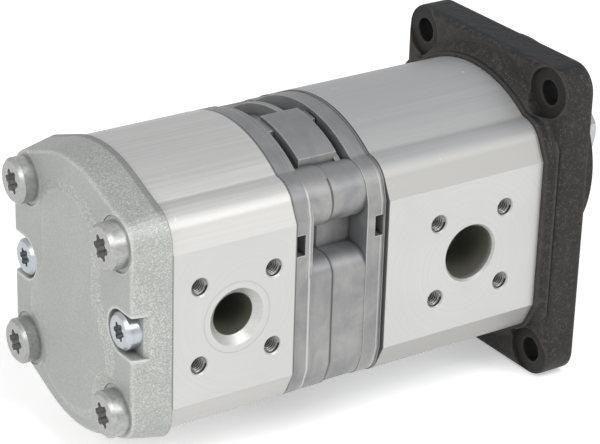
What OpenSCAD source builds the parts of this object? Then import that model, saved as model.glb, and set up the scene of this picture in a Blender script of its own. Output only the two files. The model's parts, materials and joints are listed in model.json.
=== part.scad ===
// Tandem external gear pump: two gear stages on one drive line, held together by four
// through bolts between a cast front flange and a cast rear cover.
// Frame: X along the drive shaft toward the drive end, -Y out of the suction faces, Z up.
// The origin is the centre of the flange's mounting face, on the drive shaft's axis.

/* [Housing stack] */
// Thickness of the flange plate, mounting face to its cast back
flange_plate_t = 13; // [10:0.5:18]
// Height of the flange's collar behind the plate, round the front body
collar_h = 4.7; // [3:0.1:8]
// Length of the front pump body
front_body_l = 65.5; // [55:0.5:100]
// Length of the cast housing between the two stages
mid_l = 36.7; // [36:0.1:50]
// Length of the rear pump body
rear_body_l = 47; // [44:0.5:90]
// Thickness of the rear cover at its bolts
cover_t = 13.6; // [12.5:0.1:24]

/* [Body outline] */
// Distance between the two machined port faces
body_w = 85; // [84:0.5:90]
// Radius of the body's round top and bottom
body_r = 50; // [49:0.5:52]
// Height of a machined port face
port_face_h = 55; // [50:1:58]
// Radius of the corner lobe round each through bolt
lobe_r = 10.1; // [9:0.1:11.5]
// Radius of the valley between a lobe and the round top
valley_r = 4; // [2:0.5:6]
// Drive shaft axis above the centre of the body
shaft_rise = 15.5; // [15.2:0.1:16]

/* [Flange] */
// Hole spacing of the flange across
flange_hole_y = 72; // [70:1:80]
// Hole spacing of the flange up and down
flange_hole_z = 100; // [98:1:110]
// Diameter of the flange holes
flange_hole_d = 9; // [8:0.5:11]
// Radius of the flange corners, about the holes
flange_corner_r = 9.4; // [9.2:0.1:14]
// Rounding of the flange's cast back edge
flange_round = 2.5; // [1:0.5:6]
// Diameter of the spot faces round the flange holes
spot_face_d = 18; // [14:0.5:18]
// Depth of the spot faces
spot_face_depth = 1.4; // [0.5:0.1:3]
// Diameter of the centring pilot
pilot_d = 80; // [76:1:84]
// Height of the centring pilot
pilot_h = 8.2; // [5:0.1:10]
// Width of the lip that the collar shows round the body
collar_lip = 1.6; // [1:0.1:2.5]

/* [Gears] */
// Number of teeth on every gear
teeth = 12; // [12:1:14]
// Pressure angle of the teeth
pressure_angle = 25; // [24:0.5:26]
// Height of a tooth outside the pitch circle
addendum = 2.5; // [2.2:0.05:2.55]
// Depth of a tooth inside the pitch circle
dedendum = 3.1; // [2.8:0.05:3.2]
// Play between two meshing teeth, along the pitch circle
backlash = 0.24; // [0.16:0.02:0.4]
// Width of the front stage's gears
front_gear_w = 28; // [12:0.5:36]
// Width of the rear stage's gears
rear_gear_w = 14; // [6:0.5:18]
// Diameter of the gear journals
journal_d = 24; // [23:0.1:24]
// Radial gap between a gear's tips and its chamber
tip_gap = 0.2; // [0.15:0.05:0.3]

/* [Bearings] */
// Wall of a plain bearing sleeve
sleeve_wall = 1.5; // [1:0.25:1.5]
// Radial gap between a journal and its sleeve
journal_gap = 0.04; // [0.02:0.01:0.06]
// Radial gap between a bearing block and its chamber
block_gap = 0.08; // [0.05:0.01:0.12]
// Gap on each face of a gear, between the bearing blocks
face_gap = 0.1; // [0.05:0.05:0.2]

/* [Shaft end] */
// Large diameter of the shaft's taper
taper_d = 17; // [16:0.5:18]
// Distance from the mounting face to the shaft's end
shaft_out = 37.5; // [36:0.5:40]
// Diameter of the thread at the shaft's end
end_thread_d = 12; // [10:0.5:12.5]
// Width of the shaft nut across its flats
nut_af = 19; // [18:0.5:22]
// Height of the shaft nut
nut_h = 7; // [6:0.5:8]
// Distance from the mounting face to the nut's outer face
nut_end = 35; // [34:0.5:36]
// Angle that the nut is turned by
nut_turn = 37; // [0:1:60]
// Thickness of the spring washer under the nut
washer_t = 1.5; // [1:0.1:2.5]
// Diameter of the disc that the round key is cut from
key_d = 13; // [11:0.5:14]
// Width of the key
key_w = 3; // [2.5:0.5:4]
// Height of the key
key_h = 5; // [4:0.1:5.5]
// Height by which the key stands out of the taper at its middle
key_out = 1.4; // [1:0.1:1.8]
// Angle of the key about the shaft, from the top toward the pressure side
key_turn = 108; // [0:1:180]

/* [Shaft seal] */
// Outer diameter of the shaft seal
seal_d = 35; // [32:1:38]
// Width of the shaft seal
seal_w = 7; // [5:0.5:8]
// Thickness of the seal's retaining ring
ring_t = 1.5; // [1:0.1:2]
// Width of the retaining ring's opening
ring_gap = 8; // [6:0.5:9]

/* [Coupling] */
// Diameter over the splines of both shafts
spline_d = 16; // [14:0.5:17]
// Diameter at the bottom of the splines
spline_root_d = 13; // [11:0.5:13.5]
// Length of the drive shaft's splines
spline_l = 10; // [8:0.5:10]
// Length of the rear drive gear's splines
rear_spline_l = 9; // [7:0.5:9]
// Width of a spline tooth
spline_tooth_w = 3.2; // [2.4:0.1:3.6]
// Outer diameter of the coupling sleeve
coupling_d = 24; // [22:0.5:25]
// Length of the coupling sleeve
coupling_l = 23; // [18:0.5:24]
// Diameter of the shaft neck that the inner seal runs on
neck_d = 18; // [17:0.5:19]
// Width of the inner seal between the stages
stage_seal_w = 6; // [4:0.5:7]
// Outer diameter of the inner seal between the stages
stage_seal_d = 30; // [28:1:32]
// Gap round the coupling sleeve and the neck, in the middle housing
coupling_room = 1.2; // [0.8:0.1:1.5]

/* [Ports] */
// Distance from the flange's body face to the front ports
front_port_x = 29.9; // [28:0.1:34]
// Distance from the joint of rear body and middle housing to the rear ports
rear_port_x = 22.8; // [22:0.1:25]
// Bore of the front suction port
front_suction_d = 20; // [15:0.5:20]
// Bore of the rear suction port
rear_suction_d = 15; // [13:0.5:16]
// Bore of the two pressure ports
pressure_d = 15; // [12:0.5:16]
// Bolt circle of the suction ports
suction_pcd = 40; // [38:1:42]
// Bolt circle of the pressure ports
pressure_pcd = 35; // [32:1:36]
// Diameter of the tapped port holes
port_thread_d = 6; // [5:0.5:6.5]
// Depth of the tapped port holes
port_thread_depth = 13; // [10:0.5:14]
// Depth of a port's full bore, before its narrower passage to the gears
port_bore_depth = 20; // [15:0.5:21]
// Width of the passage from a port to the gears
passage_d = 12; // [8:0.5:14]

/* [Middle housing] */
// Distance between the two sides of the middle housing
mid_w = 82.4; // [82:0.2:84]
// Depth of the barrel's top below the bodies' round tops
barrel_drop = 0.6; // [0.6:0.1:2.5]
// Depth of the sunk ground round the barrel below the bodies' round tops
ground_drop = 5.5; // [4:0.5:7]
// Depth of the deep slot beside the barrel below the bodies' round tops
slot_drop = 12.5; // [8:0.5:14]
// Width of the deep slot beside the barrel
slot_w = 3.4; // [2:0.1:4]
// Distance from the shafts' plane to the barrel's near side
barrel_near = 2.5; // [1:0.5:4]
// Distance from the shafts' plane to the barrel's far side
barrel_far = 26; // [24:0.5:27]
// Distance from the shafts' plane to the near end of the deep slot
slot_near = 11; // [9:0.5:14]
// Distance from the shafts' plane to the near end of the ledge beside the barrel
ledge_near = 9; // [7:0.5:12]
// Distance from the barrel's slot to the cross rib
rib_x = 8; // [6:0.5:9]
// Width of the cross rib
rib_w = 2.2; // [1.5:0.1:3]
// Distance from the shafts' plane to the cross rib's far end
rib_far = 27; // [20:0.5:28]
// Width of the rim against the rear body
rear_rim_w = 7.4; // [6:0.1:8]
// Width of the rim against the front body
front_rim_w = 7.5; // [6:0.1:8]
// Distance from the rear joint to the end of the bosses' thicker part
boss_step_x = 15.5; // [13:0.1:18]
// Height of the step in the bosses and the side blocks
boss_step = 0.5; // [0.3:0.1:0.8]
// Top of the side blocks above the centre of the housing
block_top = 10.5; // [8:0.5:12]
// Rounding of the side blocks' top edges
block_round = 6.5; // [4:0.5:8]

/* [Rear cover] */
// Width by which the cast cover stands proud of the body at their joint
cover_proud = 0.8; // [0:0.1:1.5]
// Radius of the cover's four lobes at the joint
cover_lobe_r = 12.2; // [11.5:0.1:13]
// Width that the cover narrows by on each side, from the joint to its back
cover_draft = 2.6; // [1:0.1:3]
// Rounding of the cover's cast back edge
cover_round = 1.2; // [0.5:0.1:1.6]
// Height of the cast middle of the cover above its bolt pads
plateau_h = 1.4; // [0.8:0.1:2]
// Width of the slope round the cast middle
plateau_slope = 4; // [2:0.5:4.5]
// Radius of the cast middle round the drive shaft
plateau_r = 20.5; // [18:0.5:23]
// Half the width of the cast middle above the shafts
plateau_half_w = 16; // [12:0.5:18]
// Radius of the cast middle round the driven shaft
plateau_low_r = 25; // [20:0.5:26]
// Radius that the cast middle stays clear of round the through bolts
bolt_scallop_r = 14; // [12:0.5:15]
// Radius that the cast middle stays clear of round the cover screws
screw_scallop_r = 12; // [10:0.5:13]
// Diameter of the spot faces under the through bolts' heads
bolt_spot_d = 19; // [17.5:0.5:19]
// Depth of the spot faces under the through bolts' heads
bolt_spot_depth = 0.4; // [0.3:0.1:1.2]
// Radius of the notches for the cover screws' heads
notch_r = 7.6; // [7:0.1:8.5]
// Depth of the notches for the cover screws' heads
notch_depth = 4.8; // [4:0.1:6]

/* [Through bolts] */
// Spacing of the four through bolts, both ways
bolt_pitch = 60; // [58:0.5:60]
// Diameter of the through bolts
bolt_d = 10; // [8:0.5:10]
// Diameter of the through bolts' heads
bolt_head_d = 16; // [14:0.5:17]
// Height of the through bolts' heads
bolt_head_h = 6; // [5:0.1:10]
// Gap between a bolt and its hole, radially
bolt_gap = 0.5; // [0.3:0.1:0.7]
// Length of the bolts' thread inside the flange
bolt_in_flange = 14; // [10:0.5:15]

/* [Cover screws] */
// Distance between the two cover screws
screw_pitch = 64; // [62:0.5:65]
// Diameter of the cover screws
screw_d = 8; // [6:0.5:8]
// Diameter of the cover screws' heads
screw_head_d = 13; // [11:0.5:13]
// Height of the cover screws' heads
screw_head_h = 5.2; // [4:0.1:6]
// Length of the cover screws' thread inside the rear body
screw_in_body = 11; // [8:0.5:12]

/* [Hidden] */
$fn = 72;

// Stations along X
flange_back = -flange_plate_t;
front_x1 = flange_back - collar_h;
front_x0 = front_x1 - front_body_l;
mid_x0 = front_x0 - mid_l;
rear_x0 = mid_x0 - rear_body_l;
cover_x0 = rear_x0 - cover_t;
front_port = front_x1 - front_port_x;
rear_port = mid_x0 - rear_port_x;

// Places in the Y-Z plane
centre_z = -shaft_rise;
driven_z = -2 * shaft_rise;
half_w = body_w / 2;
bolt_y = bolt_pitch / 2;
cut = 1;
// Overlap that keeps a rounding from only touching the edge that it meets
weld = 0.03;

// Gears
pitch_r = shaft_rise;
tip_r = pitch_r + addendum;
root_r = pitch_r - dedendum;
base_r = pitch_r * cos(pressure_angle);
chamber_r = tip_r + tip_gap;
journal_r = journal_d / 2;
sleeve_r = journal_r + journal_gap + sleeve_wall;
sleeve_fit = 0.02;
front_block_l = (front_body_l - front_gear_w) / 2 - face_gap;
rear_block_l = (rear_body_l - rear_gear_w) / 2 - face_gap;
flank_steps = 6;

// Seals
seal_groove_in = chamber_r + 2.2;
seal_cord = 2.4;
seal_groove_depth = 1.9;
field_band = 2.3;
field_outer = chamber_r - 1.6;
field_seal_t = 2;
backup_t = 1;
field_side = -9;
seal_fit = 0.05;

// Middle housing
rear_seam = 5.2;
front_seam = 0.8;
seam_step = 0.35;
boss_r = lobe_r - 0.6;
side_y = mid_w / 2;
block_y = side_y - boss_step;
block_low = -28;
pocket_y = 30;
barrel_r = body_r - barrel_drop;
ground_r = body_r - ground_drop;
slot_r = body_r - slot_drop;
barrel_x0 = mid_x0 + rear_rim_w + slot_w;
barrel_x1 = front_x0 - front_rim_w - 3.5;
notch_z = 15;
notch_h = 7.5;
dowel_d = 6;
dowel_l = 12;
dowel_y = 20;
dowel_z = 38;

// Pieces laid along X: a Y-Z profile between two stations, and a round rod
module slab(x0, x1) {
  translate([x0, 0, 0]) rotate([90, 0, 90]) linear_extrude(x1 - x0) children();
}

module rod(x0, x1, r, y = 0, z = 0, r2 = undef) {
  far_r = is_undef(r2) ? r : r2;
  translate([x0, y, z]) rotate([0, 90, 0]) cylinder(h = x1 - x0, r1 = r, r2 = far_r);
}

// A round cut into a side face, along Y from the face inward
module side_bore(side, x, depth, r) {
  translate([x, side * (half_w + cut), centre_z])
    rotate([side * 90, 0, 0]) cylinder(h = depth + cut, r = r);
}

module at_centre() {
  translate([0, centre_z]) children();
}

module on_both_axes() {
  children();
  translate([0, driven_z]) children();
}

function corner(sy, sz) = [sy * bolt_y, sz * bolt_y];
function circle_meet(a, ra, b, rb, side) =
  let (d = norm(b - a), u = (b - a) / d, t = (ra * ra - rb * rb + d * d) / (2 * d),
       h = sqrt(ra * ra - t * t))
  a + u * t + side * h * [-u[1], u[0]];
function tangent_point(p, c, r, side) =
  let (v = p - c, w = atan2(v[1], v[0]) + side * acos(r / norm(v)))
  c + r * [cos(w), sin(w)];

// Outline of a housing: a round top and bottom, a lobe round each bolt and two flat sides
function flipped(points, sy, sz) = [for (p = points) [sy * p[0], sz * p[1]]];
function backwards(points) = [for (i = [len(points) - 1:-1:0]) points[i]];
function all_round(points) = concat(points, backwards(flipped(points, -1, 1)),
  flipped(points, -1, -1), backwards(flipped(points, 1, -1)));

module quarter_mirrors() {
  for (sy = [0, 1], sz = [0, 1]) mirror([sy, 0]) mirror([0, sz]) children();
}

// One rounded valley between the round top and the lobe at +Y +Z
module valley(disc_r, boss_r, round_r) {
  c = corner(1, 1);
  f = circle_meet([0, 0], disc_r + round_r, c, boss_r + round_r, 1);
  difference() {
    polygon([c / 2, c, f]);
    translate(f) circle(r = round_r + weld);
  }
}

module housing_outline(disc_r, boss_r, flat_y, flat_h, round_r = valley_r) {
  side_corner = [flat_y, flat_h / 2];
  lobe_touch = tangent_point(side_corner, corner(1, 1), boss_r - weld, 1);
  intersection() {
    circle(r = disc_r);
    square([2 * flat_y - 2, 3 * disc_r], center = true);
  }
  polygon(all_round([side_corner, lobe_touch, corner(1, 1)]));
  quarter_mirrors() {
    translate(corner(1, 1)) circle(r = boss_r);
    valley(disc_r, boss_r, round_r);
  }
}

module body_outline() {
  at_centre() housing_outline(body_r, lobe_r, half_w, port_face_h);
}

module bolt_holes(x0, x1, r) {
  for (sy = [-1, 1], sz = [-1, 1]) rod(x0, x1, r, sy * bolt_y, centre_z + sz * bolt_y);
}

module racetrack(r) {
  on_both_axes() circle(r = r);
  translate([-r, driven_z]) square([2 * r, -driven_z]);
}

module joint_ring(x0, x1, grow) {
  slab(x0, x1) difference() {
    racetrack(seal_groove_in + seal_cord + grow);
    racetrack(seal_groove_in - grow);
  }
}

module dowel_spots(x, length, r) {
  for (s = [-1, 1]) rod(x - length / 2, x + length / 2, r, -s * dowel_y, centre_z + s * dowel_z);
}

module chamber(x0, x1) {
  slab(x0, x1) on_both_axes() circle(r = chamber_r);
}

// A port: its bore, a passage to the gears, a chamfer and four tapped holes round it
module port(side, x, bore_d, chamfer, pcd) {
  side_bore(side, x, port_bore_depth, bore_d / 2);
  side_bore(side, x, half_w - 5, passage_d / 2);
  face_y = side * half_w;
  translate([x, face_y, centre_z]) rotate([side * 90, 0, 0])
    translate([0, 0, -0.01]) cylinder(h = chamfer, r1 = bore_d / 2 + chamfer, r2 = bore_d / 2);
  for (a = [45, 135, 225, 315]) {
    hole_x = x + pcd / 2 * cos(a);
    hole_z = centre_z + pcd / 2 * sin(a);
    translate([hole_x, side * (half_w + cut), hole_z]) rotate([side * 90, 0, 0])
      cylinder(h = port_thread_depth + cut, r = port_thread_d / 2);
    translate([hole_x, face_y, hole_z]) rotate([side * 90, 0, 0])
      translate([0, 0, -0.01]) cylinder(h = 0.5, r1 = port_thread_d / 2 + 0.5, r2 = port_thread_d / 2);
  }
}

module pump_body(x0, x1) {
  difference() {
    slab(x0, x1) body_outline();
    chamber(x0 - cut, x1 + cut);
    bolt_holes(x0 - cut, x1 + cut, bolt_d / 2 + bolt_gap);
    joint_ring(x0 - cut, x0 + seal_groove_depth, seal_fit);
    joint_ring(x1 - seal_groove_depth, x1 + cut, seal_fit);
    for (x = [x0, x1]) dowel_spots(x, dowel_l + cut, dowel_d / 2 + sleeve_fit);
    children();
  }
}

module front_body() {
  color("gainsboro") pump_body(front_x0, front_x1) {
    port(-1, front_port, front_suction_d, 0.8, suction_pcd);
    port(1, front_port, pressure_d, 0.8, pressure_pcd);
  }
}

module rear_body() {
  color("gainsboro") pump_body(rear_x0, mid_x0) {
    port(-1, rear_port, rear_suction_d, 2.8, suction_pcd);
    port(1, rear_port, pressure_d, 0.8, pressure_pcd);
    screw_holes(rear_x0 - cut, rear_x0 + screw_in_body + 1.5, screw_d / 2 + 0.05);
  }
}

module screw_holes(x0, x1, r) {
  for (s = [-1, 1]) rod(x0, x1, r, s * screw_pitch / 2, centre_z);
}

// Front flange
module flange_corner_points() {
  for (sy = [-1, 1], sz = [-1, 1])
    translate([0, sy * flange_hole_y / 2, centre_z + sz * flange_hole_z / 2]) children();
}

module flange_plate() {
  hull() flange_corner_points() {
    rod(flange_back + flange_round, 0, flange_corner_r, $fn = 32);
    translate([flange_back + flange_round, 0, 0]) rotate([0, -90, 0])
      rotate_extrude($fn = 32) {
        intersection() {
          translate([flange_corner_r - flange_round, 0]) circle(r = flange_round, $fn = 24);
          square([flange_corner_r, flange_round]);
        }
        square([flange_corner_r - flange_round, flange_round]);
      }
  }
}

// The collar steps down to the plate in a hollow slope
module collar() {
  lip_x = front_x1 + 1.2;
  slab(front_x1, flange_back + flange_round) at_centre()
    housing_outline(body_r + collar_lip, lobe_r + collar_lip, half_w + collar_lip,
      port_face_h + collar_lip);
  hull() {
    slab(lip_x, lip_x + 0.1) at_centre() intersection() {
      circle(r = body_r + collar_lip + 0.6, $fn = 48);
      square([2 * half_w + 3, 3 * body_r], center = true);
    }
    slab(flange_back, flange_back + 0.1) at_centre() intersection() {
      circle(r = body_r + collar_lip + 3.6, $fn = 48);
      square([2 * half_w + 5, 3 * body_r], center = true);
    }
  }
}

module front_flange() {
  seal_x = pilot_h - seal_room();
  color("#3c3937") difference() {
    union() {
      flange_plate();
      collar();
      rod(-cut, pilot_h - 0.6, pilot_d / 2);
      rod(pilot_h - 0.6, pilot_h, pilot_d / 2, r2 = pilot_d / 2 - 0.6);
    }
    flange_corner_points() {
      rod(front_x1, cut, flange_hole_d / 2);
      rod(front_x1 - cut, flange_back + spot_face_depth, spot_face_d / 2);
    }
    rod(front_x1 - cut, pilot_h + cut, journal_r + 0.6);
    rod(seal_x, pilot_h + cut, seal_d / 2);
    rod(pilot_h - 0.8, pilot_h + 0.01, seal_d / 2, r2 = seal_d / 2 + 0.8);
    rod(seal_x + seal_w + 0.1, seal_x + seal_w + 0.2 + ring_t, seal_d / 2 + 1.2);
    bolt_holes(front_x1 - cut, front_x1 + bolt_in_flange + 1, bolt_d / 2 + 0.1);
    dowel_spots(front_x1, dowel_l + cut, dowel_d / 2 + sleeve_fit);
  }
}

function seal_room() = seal_w + ring_t + 2.4;

// Rear cover
bolt_seat = cover_x0 + bolt_spot_depth;
screw_seat = cover_x0 + notch_depth;
cover_half_w = half_w - 0.2;

// One level of the drafted cover: the round top and bottom, the lobes and the flat sides
module cover_level(x, inset) {
  slab(x, x + 0.1) at_centre() {
    intersection() {
      circle(r = body_r + cover_proud - inset, $fn = 96);
      square([2 * (cover_half_w - inset), 3 * body_r], center = true);
    }
    quarter_mirrors() translate(corner(1, 1))
      circle(r = cover_lobe_r - inset, $fn = 40);
    square([2 * (cover_half_w - inset), port_face_h], center = true);
  }
}

module cover_casting() {
  hull() {
    cover_level(rear_x0 - 0.1, 0);
    cover_level(cover_x0 + cover_round, cover_draft);
    cover_level(cover_x0 + cover_round * 0.3, cover_draft + cover_round * 0.3);
    cover_level(cover_x0, cover_draft + cover_round);
  }
}

// The raised cast middle lies over both gear shafts, with a slope all round it, and is
// scalloped round the bolts and the screws
module plateau() {
  x0 = cover_x0 - plateau_h;
  x1 = cover_x0 + plateau_h;
  wide = 2 * plateau_slope;
  half_w1 = plateau_half_w + wide;
  difference() {
    union() {
      intersection() {
        rod(x0, x1, plateau_r, 0, 0, plateau_r + wide);
        translate([0, 0, centre_z - body_r]) linear_extrude(2 * body_r)
          polygon([[x0, -plateau_half_w], [x0, plateau_half_w], [x1, half_w1], [x1, -half_w1]]);
      }
      rod(x0, x1, plateau_low_r, 0, driven_z, plateau_low_r + wide);
    }
    for (s = [-1, 1]) {
      for (t = [-1, 1])
        rod(x0 - weld, x1 + weld, bolt_scallop_r, s * bolt_y, centre_z + t * bolt_y,
          bolt_scallop_r - wide);
      rod(x0 - weld, x1 + weld, screw_scallop_r, s * screw_pitch / 2, centre_z,
        screw_scallop_r - wide);
    }
  }
}

// The side opening of a screw notch. Its floor slopes off at the side of the cover.
module notch_mouth(out, side) {
  from = screw_pitch / 2;
  flat_to = from + screw_head_d / 2 + 0.3;
  to = half_w + 2 * cut;
  floor_line = [[out, from], [screw_seat, from], [screw_seat, flat_to],
    [screw_seat + 0.8 * (to - flat_to), to], [out, to]];
  translate([0, 0, centre_z - notch_r]) linear_extrude(2 * notch_r)
    polygon(side > 0 ? floor_line : backwards(flipped(floor_line, 1, -1)));
}

module rear_cover() {
  out = cover_x0 - plateau_h - cut;
  color("#b7bab6") difference() {
    union() {
      cover_casting();
      plateau();
    }
    bolt_holes(out, rear_x0 + cut, bolt_d / 2 + bolt_gap);
    bolt_holes(out, bolt_seat, bolt_spot_d / 2);
    screw_holes(out, rear_x0 + cut, screw_d / 2 + 0.4);
    for (s = [-1, 1]) {
      rod(out, screw_seat, notch_r, s * screw_pitch / 2, centre_z);
      notch_mouth(out, s);
    }
    dowel_spots(rear_x0, dowel_l + cut, dowel_d / 2 + sleeve_fit);
  }
}

// Middle housing, cast in one piece. Its thicker part lies against the rear joint.
module mid_bosses(grow) {
  edge_y = block_y + grow;
  top_z = block_top + grow;
  side_corner = [edge_y, block_low];
  low_corner = corner(1, -1);
  lobe_touch = tangent_point(side_corner, low_corner, boss_r + grow - weld, -1);
  right = [[edge_y - block_round, top_z], [edge_y, top_z - block_round], side_corner,
    lobe_touch, low_corner];
  at_centre() {
    quarter_mirrors() translate(corner(1, 1)) circle(r = boss_r + grow);
    polygon(concat(right, backwards(flipped(right, -1, 1))));
    for (s = [-1, 1])
      translate([s * (edge_y - block_round), top_z - block_round]) circle(r = block_round + weld);
  }
}

module mid_ground() {
  at_centre() intersection() {
    circle(r = ground_r);
    square([2 * pocket_y, 3 * body_r], center = true);
  }
}

// A sector of the housing's round top out to radius r, between two Y limits
module top_sector(x0, x1, r, y0, y1) {
  slab(x0, x1) at_centre() intersection() {
    circle(r = r);
    translate([y0, bolt_y / 2]) square([y1 - y0, body_r]);
  }
}

// What lies outside radius r over the round top, between two Y limits
module over_top(x0, x1, r, y0, y1) {
  slab(x0, x1) at_centre() difference() {
    translate([y0, bolt_y / 2]) square([y1 - y0, body_r]);
    circle(r = r);
  }
}

module mid_rim(x0, x1, inset) {
  slab(x0, x1) at_centre()
    housing_outline(body_r - inset, lobe_r - inset, side_y - inset, port_face_h);
}

module mid_notch(x0, x1, side) {
  translate([x0, side > 0 ? side_y - 5 : -side_y - cut, centre_z + notch_z])
    cube([x1 - x0, 5 + cut, notch_h]);
}

module mid_housing() {
  x0 = mid_x0;
  x1 = front_x0;
  rim_x = x1 - front_rim_w;
  seal_x = x1 - stage_seal_w - 0.5;
  wall = 3.5;
  join0 = x0 + rear_seam / 2;
  join1 = x1 - front_seam / 2;
  color("#8f9399") difference() {
    union() {
      mid_rim(x0, x0 + rear_seam, 0);
      mid_rim(join0, x0 + rear_rim_w, seam_step);
      slab(join0, join1) mid_bosses(0);
      slab(join0, x0 + boss_step_x) mid_bosses(boss_step);
      slab(join0, join1) mid_ground();
      mid_rim(rim_x, join1, seam_step);
      mid_rim(x1 - front_seam, x1, 0);
      top_sector(barrel_x0, barrel_x1, barrel_r, -barrel_far, -barrel_near);
      top_sector(barrel_x1 - cut, barrel_x1 + 1, barrel_r - 1.6, -barrel_far - 2, -ledge_near);
      top_sector(barrel_x0 - slot_w, barrel_x0 + cut, barrel_r - 1, -slot_near, -barrel_near);
      top_sector(barrel_x0 + rib_x, barrel_x0 + rib_x + rib_w, barrel_r - 0.6,
        -barrel_near - 1.5, rib_far);
      top_sector(barrel_x1 + 0.6, barrel_x1 + 3, barrel_r - 1.4, -ledge_near, -barrel_near - 0.5);
    }
    over_top(barrel_x0 - slot_w, barrel_x0, slot_r, -barrel_far + 3.5, -slot_near);
    over_top(barrel_x0 - slot_w, barrel_x0, ground_r - 1, -barrel_far + 0.5, -slot_near);
    over_top(barrel_x1 + 1, rim_x, ground_r - 2, -barrel_far + 5, -ledge_near);
    for (s = [-1, 1]) {
      mid_notch(x0 + 0.5, x0 + 4.2, s);
      mid_notch(x1 - 4.3, x1 - 1, s);
    }
    bolt_holes(x0 - cut, x1 + cut, bolt_d / 2 + bolt_gap);
    rod(seal_x, x1 + cut, stage_seal_d / 2);
    rod(x0 + wall, seal_x + cut, coupling_d / 2 + coupling_room);
    rod(x0 - cut, x0 + wall + cut, neck_d / 2 + coupling_room / 2);
    for (x = [x0, x1]) dowel_spots(x, dowel_l + cut, dowel_d / 2 + sleeve_fit);
  }
}

// Gears
function inv_deg(a) = tan(a) * 180 / PI - a;
tooth_half = 90 / teeth - backlash / 4 / pitch_r * 180 / PI;
function flank_angle(r) =
  tooth_half + inv_deg(pressure_angle) - (r > base_r ? inv_deg(acos(base_r / r)) : 0);
flank_r = concat([root_r - 1], [for (k = [0:flank_steps]) base_r + (tip_r - base_r) * k / flank_steps]);
function polar(r, a) = [r * cos(a), r * sin(a)];

module gear_outline(phase) {
  circle(r = root_r);
  for (i = [0:teeth - 1]) rotate(phase + i * 360 / teeth) polygon(concat(
    [for (r = flank_r) polar(r, flank_angle(r))],
    [for (k = [len(flank_r) - 1:-1:0]) polar(flank_r[k], -flank_angle(flank_r[k]))]));
}

module gear(x0, width, z, phase) {
  translate([0, 0, z]) slab(x0, x0 + width) gear_outline(phase);
}

drive_phase = 90 - 360 / teeth * floor(90 / (360 / teeth));
driven_phase = drive_phase + 180 / teeth;

module spline_outline(root, tip, w) {
  circle(r = root);
  for (i = [0:5]) rotate(i * 60) translate([0, -w / 2]) square([tip, w]);
}

front_gear_x = front_x0 + front_block_l + face_gap;
rear_gear_x = rear_x0 + rear_block_l + face_gap;
coupling_x = front_x0 - stage_seal_w - 1.5 - coupling_l;
end_gap = 0.4;
shoulder_x = pilot_h + 1;
nut_x0 = nut_end - nut_h;
// The taper narrows by 1 in 5 and ends at the washer
taper_x0 = shoulder_x + 1.2;
taper_x1 = nut_x0 - washer_t;
taper_l = taper_x1 - taper_x0;
taper_r0 = taper_d / 2;
taper_r1 = taper_r0 - taper_l / 10;
thread_r = end_thread_d / 2;

module drive_shaft() {
  neck_x = front_x0 + end_gap;
  spline_x = neck_x - stage_seal_w - 1.5;
  color("#c3c7ca") difference() {
    union() {
      rod(shaft_out - 1, shaft_out, thread_r, r2 = thread_r - 1);
      rod(taper_x1 + 1, shaft_out - 1, thread_r);
      rod(taper_x1 - cut, taper_x1 + 1 + weld, thread_r - 0.9);
      rod(taper_x0, taper_x1, taper_r0, r2 = taper_r1);
      rod(shoulder_x - cut, taper_x0 + weld, taper_r0 - 0.4);
      rod(shoulder_x - 0.5, shoulder_x, journal_r, r2 = journal_r - 0.5);
      rod(neck_x, shoulder_x - 0.5, journal_r);
      gear(front_gear_x, front_gear_w, 0, drive_phase);
      rod(spline_x, neck_x + cut, neck_d / 2);
      slab(spline_x - spline_l, spline_x + cut)
        spline_outline(spline_root_d / 2, spline_d / 2, spline_tooth_w);
    }
    key_disc(sleeve_fit);
  }
}

// The disc that the round key is cut from, lying across the middle of the taper
key_top = (taper_r0 + taper_r1) / 2 + key_out;

module key_disc(grow) {
  rotate([-key_turn, 0, 0])
    translate([(taper_x0 + taper_x1) / 2, key_w / 2 + grow, key_top - key_h + key_d / 2])
      rotate([90, 0, 0]) cylinder(h = key_w + 2 * grow, r = key_d / 2 + grow);
}

module shaft_key() {
  color("#9a9c9e") intersection() {
    key_disc(0);
    rotate([-key_turn, 0, 0]) translate([taper_x0, -key_w, 0]) cube([taper_l, 2 * key_w, key_top]);
  }
}

// Hexagon nut with both ends chamfered at its corners
module shaft_nut() {
  corner_r = nut_af / sqrt(3);
  edge_r = nut_af / 2 - 0.2;
  slope = 0.58 * (corner_r - edge_r);
  x1 = nut_end;
  color("#c9cdd1") difference() {
    intersection() {
      slab(nut_x0, x1) rotate(nut_turn) circle(r = corner_r, $fn = 6);
      union() {
        rod(nut_x0 - 0.01, nut_x0 + slope, edge_r, r2 = corner_r);
        rod(nut_x0 + slope - weld, x1 - slope + weld, corner_r + 0.1);
        rod(x1 - slope, x1 + 0.01, corner_r, r2 = edge_r);
      }
    }
    rod(nut_x0 - cut, x1 + cut, thread_r + sleeve_fit);
    rod(nut_x0 - 0.01, nut_x0 + 0.7, thread_r + 0.7, r2 = thread_r);
    rod(x1 - 0.7, x1 + 0.01, thread_r, r2 = thread_r + 0.7);
  }
}

// Spring washer, split on the side away from the key
module nut_washer() {
  color("#c9cdd1") slab(nut_x0 - washer_t, nut_x0) difference() {
    circle(r = nut_af / 2 - 0.5);
    circle(r = thread_r + 0.2);
    rotate(key_turn) translate([-0.7, -nut_af]) square([1.4, nut_af]);
  }
}

module front_driven_gear() {
  color("#c3c7ca") {
    gear(front_gear_x, front_gear_w, driven_z, driven_phase);
    rod(front_x0 + end_gap, front_x1 - end_gap, journal_r, 0, driven_z);
  }
}

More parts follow.
